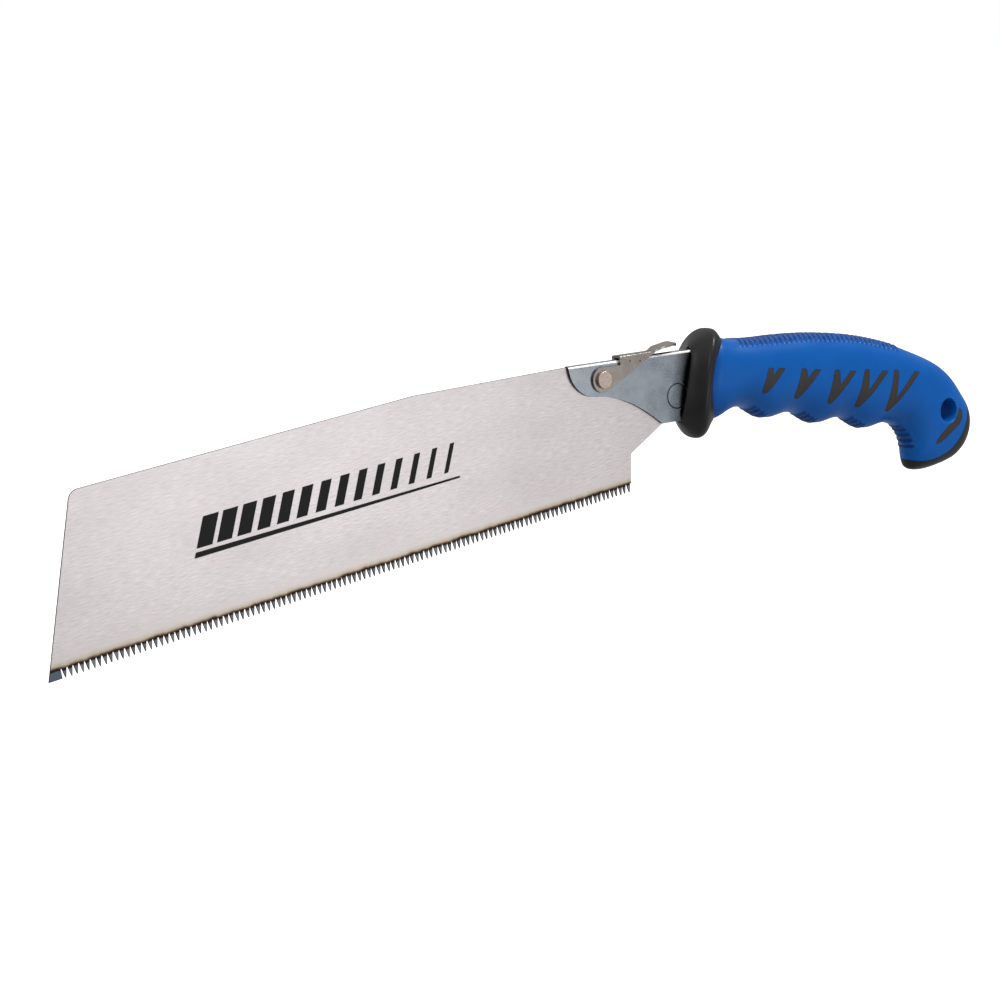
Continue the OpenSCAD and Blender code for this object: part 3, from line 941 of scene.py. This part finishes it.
def gripRows(values):
    full, low = values["halfWidth"], values["hollowAt"]
    lastHollow = values["firstFinger"] + values["fingers"] * values["fingerPitch"]
    rows = []
    u = values["start"]
    while u < lastHollow - 0.1:
        half = full - values["waist"] * (1 - smoothStep(-6, 22, u))
        half -= values["mouth"] * (1 - smoothStep(-6, 0, u))
        rows.append([u, crownAt(values, u), u, bellyAt(values, u), half])
        u += values["ringStep"]
    fan = [[u, crownAt(values, u), u, low, full] for u in (lastHollow - 4, lastHollow)]
    return rows + smoothRows(fan + values["butt"], 4)[4:]


def wave(turns):
    return 0.5 + 0.5 * math.cos(2 * math.pi * turns)


# Ribs across the crown
def ribAt(values, u, y):
    first, last, half = values["ribBand"]
    edge = smoothStep(half + 0.5, half - 0.3, abs(y))
    ends = smoothStep(first - 1, first + 0.5, u) * (1 - smoothStep(last - 0.5, last + 1, u))
    ribs = wave((u + values["ribLean"] * abs(y)) / values["ribPitch"])
    return values["ribDepth"] * edge * ends * ribs ** 1.4


# Short grooves on the rear slope of each finger hollow
def fingerGrooveAt(values, u, above):
    past, reach = u - values["firstFinger"], values["grooveReach"]
    turn = (past / values["fingerPitch"]) % 1.0
    if past < 3 or past > (values["fingers"] - 0.4) * values["fingerPitch"]:
        return 0.0
    span = smoothStep(0.10, 0.16, turn) * (1 - smoothStep(0.42, 0.48, turn))
    return (values["grooveDepth"] * (1 - smoothStep(reach - 1, reach, above)) * span
            * wave(past / values["groovePitch"]))


# And round the hook behind the last one
def hookGrooveAt(values, u, z):
    du, dz = u - values["hookCentre"][0], z - values["hookCentre"][1]
    turn = math.degrees(math.atan2(dz, du))
    start, full, fade, stop = values["hookTurn"]
    span = smoothStep(start, full, turn) * (1 - smoothStep(fade, stop, turn))
    return (values["grooveDepth"] * (1 - smoothStep(*values["hookReach"], math.hypot(du, dz))) * span
            * wave(turn / values["hookPitch"]))


def grooveAt(values, u, y, z):
    first, last = values["ribBand"][:2]
    if first - 1 < u < last + 1:
        crown, belly = crownAt(values, u), bellyAt(values, u)
        if z > (crown + belly) / 2:
            return ribAt(values, u, y)
        return fingerGrooveAt(values, u, z - belly)
    if u > 103 and z < 4:
        return hookGrooveAt(values, u, z)
    return 0.0


def carveGrip(obj, values):
    # the groove depth is stored for the painted groove shade
    paintedGrooveShade = obj.data.attributes.new("paintedGrooveShade", "FLOAT", "POINT")
    for v in obj.data.vertices:
        depth = grooveAt(values, v.co.x / mm, v.co.y / mm, v.co.z / mm)
        paintedGrooveShade.data[v.index].value = 0.85 * smoothStep(0.15, 0.9, depth / values["grooveDepth"])
        if depth:
            v.co -= v.normal * depth * mm


inlayValues = {
    # tip of each V in the grip's frame, its arms' height, and its notch from the tip
    "vees": [(23.8, -1.4, 10.4, (3.0, 7.2)), (42.3, -2.2, 12.6, (4.0, 8.6)), (61.2, -2.7, 14.3, (4.2, 8.0)),
             (78.6, -2.8, 16.2, (3.7, 7.2)), (96.4, -3.2, 18.0, (3.4, 6.0))],
    "veeFoot": [(-1.3, 1.5), (-0.9, -0.1), (1.2, -0.2), (3.1, 2.0)],
    "armOut": (9.2, 1.7),      # how far the rear arm leans out, and how much more on the next V
    "armWidth": 3.8,
    "veeCorner": 0.8,
    "slashCorner": 0.3,
    "inner": 7.2,              # from the middle plane to the inlays' inner faces
    "outer": 14.0,
    "seam": 0.12,
    "slash": [(140.6, 1.8), (143.0, 1.0), (143.6, -2.2), (141.9, -5.4), (138.4, -8.2), (135.0, -11.4),
              (131.4, -14.2), (128.8, -15.2), (129.0, -13.2), (131.2, -10.2), (134.6, -6.5), (137.6, -4.9),
              (139.6, -2.2)],
    "stripBox": [(118.9, -40.0), (180.0, -40.0), (180.0, 4.5), (140.0, 3.0), (118.9, -10.0)],
    "stripCentre": (121.2, 3.2),
    "stripRadius": 26.8,
}


def vOutline(values, i):
    tipU, tipV, h, notch = values["vees"][i]
    wide = values["armOut"][0] + values["armOut"][1] * i
    shape = values["veeFoot"] + [(wide, h + 0.5), (wide - values["armWidth"], h + 0.3), notch,
                                 (2.7, h + 0.1), (-0.1, h)]
    return [(tipU + a, tipV + b) for a, b in shape]


# An outline on both sides of the grip, as one tool
def inlayTool(values, outline, corner, grow=0.0):
    sides = []
    for y0, y1 in ((-values["outer"], -values["inner"]), (values["inner"], values["outer"])):
        tool = drawPlate("inlayTool", outline, y0, y1, corner)
        if grow:
            editing(tool)
            bpy.ops.mesh.select_all(action="SELECT")
            bpy.ops.transform.shrink_fatten(value=grow * mm, use_even_offset=True)
            startClean()
        sides.append(tool)
    return joined(sides)


def inlayTools(values, grow=0.0):
    tools = [inlayTool(values, vOutline(values, i), values["veeCorner"], grow)
             for i in range(len(values["vees"]))]
    return tools + [inlayTool(values, values["slash"], values["slashCorner"], grow)]


def stripTool(values, grow=0.0):
    tool = drawPlate("stripTool", values["stripBox"], -values["outer"], values["outer"])
    reach = values["outer"] + 1
    boolean(tool, crossBar("bore", values["stripCentre"], values["stripRadius"] - grow, -reach, reach, 160))
    return tool


def holeTool(values):
    u, v = frameValues["holeInGrip"]
    reach = values["holeHalfLength"]
    tool = crossBar("holeTool", (u, v), values["holeRadius"], -reach, reach, 72)
    editing(tool, "FACE")
    for out in (-1, 1):
        pick(tool, lambda c, n: n.y * out > 0.9, "FACE")
        for step, scale in values["holeFlare"]:
            bpy.ops.mesh.extrude_region_move(TRANSFORM_OT_translate={"value": (0, out * step * mm, 0)})
            bpy.ops.transform.resize(value=(scale, 1, scale), center_override=(u * mm, 0, v * mm))
    facingOut(tool)
    return tool


# An inlay is cut from a copy of the grip, so that it follows the grip's surface
def makeInlay(grip, tool, name, material, node):
    inlay = copied(grip, name)
    boolean(inlay, tool, "INTERSECT")
    return finished(inlay, name, inGrip, material, "handle", node, 41, flatFaces=False)


def makeGrip(values, inlays):
    grip = pullLoft("softGrip", gripRows(values), values["sides"], 2.8, 2.05)
    smoothed(grip)
    first, last = values["ribBand"][:2]
    editing(grip, "FACE")
    pick(grip, lambda c, n: n.z > 0.25 and first - 2 < c.x / mm < last + 2 and c.z > 9 * mm, "FACE")
    bpy.ops.mesh.subdivide(number_cuts=1, smoothness=0.0)
    startClean()
    carveGrip(grip, values)
    facingOut(grip)
    boolean(grip, holeTool(values))
    print("grip body carved:", len(grip.data.polygons), "faces")

    *vees, slash = inlayTools(inlays)
    for i, tool in enumerate(vees, 1):
        makeInlay(grip, tool, "vInlay" + str(i), softs["blackInlay"], "v_inlay_" + str(i))
    makeInlay(grip, slash, "slashInlay", softs["blackInlay"], "slash_inlay")
    makeInlay(grip, stripTool(inlays), "buttStrip", softs["blackRubber"], "butt_strip")
    boolean(grip, joined(inlayTools(inlays, inlays["seam"])))
    boolean(grip, stripTool(inlays, inlays["seam"]))
    return finished(grip, "softGrip", inGrip, softs["blueGrip"], "handle", "grip_sleeve",
                    41, flatFaces=False)


makeGrip(gripValues, inlayValues)


collarValues = {
    "sides": 40,
    "bowPower": 2.7,
    "lip": 0.7,
    "mouthDepth": 1.8,
    # top u, top v, low u, low v, half width, bow
    "rows": [
        [-11.0, 13.8, -12.2, -16.8, 3.8, 0.5],
        [-9.2, 16.4, -10.0, -18.4, 6.2, 1.1],
        [-7.3, 18.7, -7.8, -20.1, 8.6, 2.1],
        [-5.5, 20.7, -5.8, -21.6, 10.3, 3.3],
        [-3.8, 22.1, -3.9, -22.7, 11.3, 4.6],
        [-2.3, 22.4, -2.4, -22.8, 11.5, 5.0],
        [-1.1, 22.2, -1.2, -22.3, 11.4, 5.5],
        [0.1, 21.4, 0.2, -21.0, 11.1, 6.2],
        [1.3, 20.5, 1.4, -18.8, 10.8, 6.9],
        [2.3, 19.7, 2.4, -17.0, 10.4, 7.4],
        [3.1, 19.2, 3.4, -15.6, 10.0, 7.7],
        [3.7, 18.1, 4.1, -13.8, 9.2, 7.8]],
}


def makeCollar(values):
    rows = smoothRows(values["rows"], 2)
    sides = values["sides"]
    collar = pullLoft("collar", rows, sides, 2.7, 2.5)
    for k, row in enumerate(rows):      # each ring bows forward at its sides
        for v in collar.data.vertices[k * sides:(k + 1) * sides]:
            v.co.x -= row[5] * mm * min(1.0, abs(v.co.y) / (row[4] * mm)) ** values["bowPower"]
    editing(collar, "FACE")
    pick(collar, lambda c, n: c.x < -10 * mm and abs(c.y) < 0.1 * mm and abs(n.x) > 0.8, "FACE")
    bpy.ops.mesh.inset(thickness=values["lip"] * mm)
    bpy.ops.mesh.extrude_region_move(TRANSFORM_OT_translate={"value": (values["mouthDepth"] * mm, 0, 0)})
    facingOut(collar)
    smoothed(collar)
    return finished(collar, "flaredCollar", inGrip, softs["blackRubber"], "handle", "front_collar",
                    60, flatFaces=False)


makeCollar(collarValues)

# Inner parts keep their own shape
for nodeName, material in (("handle_core", softs["blackCore"]), ("tang_spacer", metals["plainSteel"]),
                           ("tang_pins", metals["plainSteel"])):
    nodes[nodeName].data.materials.clear()
    nodes[nodeName].data.materials.append(material)
print("inner parts finished")

lightValues = {
    "horizonLight": 0.27,      # the room's strength at the horizon and overhead
    "overheadLight": 1.0,
    "floorGrey": (0.42, 0.42, 0.42, 1.0),
    "floorDrop": 0.35,         # metres under the hanging hole
    "floorSize": 14.0,
    "areas": [
        # name, size, power, place
        ("keyLight", 0.36, 11.0, (0.42, -0.62, 0.86)),
        ("sideLight", 0.4, 2.5, (-1.0, -0.35, 0.75)),
        ("bladeLight", 0.7, 3.2, (0.21, -1.15, -0.25)),
        ("rearLight", 0.7, 4.0, (-0.35, 1.2, 0.25)),
    ],
}


# Floor and background are plain white to the camera, and softer as light on the saw
def makeStage(values):
    bpy.context.scene.view_settings.view_transform = "Standard"
    world = bpy.data.worlds.new("studio")
    bpy.context.scene.world = world
    world.use_nodes = True
    tree = world.node_tree
    place = put(tree, "ShaderNodeTexCoord")
    split = put(tree, "ShaderNodeSeparateXYZ", {"Vector": place.outputs["Generated"]})
    room = put(tree, "ShaderNodeMapRange", {"Value": split.outputs["Z"], "From Min": 0.0, "From Max": 0.9,
                                            "To Min": values["horizonLight"],
                                            "To Max": values["overheadLight"]}).outputs[0]
    seen = put(tree, "ShaderNodeLightPath").outputs["Is Camera Ray"]
    tree.links.new(calc(tree, "MAXIMUM", room, seen), tree.nodes["Background"].inputs["Strength"])
    tree.nodes["Background"].inputs["Color"].default_value = (1, 1, 1, 1)
    for name, size, power, spot in values["areas"]:
        bpy.ops.object.light_add(type="AREA", location=spot)
        light = bpy.context.object
        light.name = name
        light.data.energy = power
        light.data.size = size
        aim = Vector(cameraValues["target"]) - Vector(spot)
        light.rotation_euler = aim.to_track_quat("-Z", "Y").to_euler()
    bpy.ops.mesh.primitive_plane_add(size=values["floorSize"], location=(0, 0, -values["floorDrop"]))
    floor = bpy.context.object
    floor.name = "floor"
    material, tree, shader = newMaterial("paleFloor", {"Base Color": values["floorGrey"], "Roughness": 0.9,
                                                       "Emission Color": (1, 1, 1, 1)})
    seen = put(tree, "ShaderNodeLightPath").outputs["Is Camera Ray"]
    tree.links.new(seen, shader.inputs["Emission Strength"])
    floor.data.materials.append(material)


makeStage(lightValues)
print("lights and floor placed")
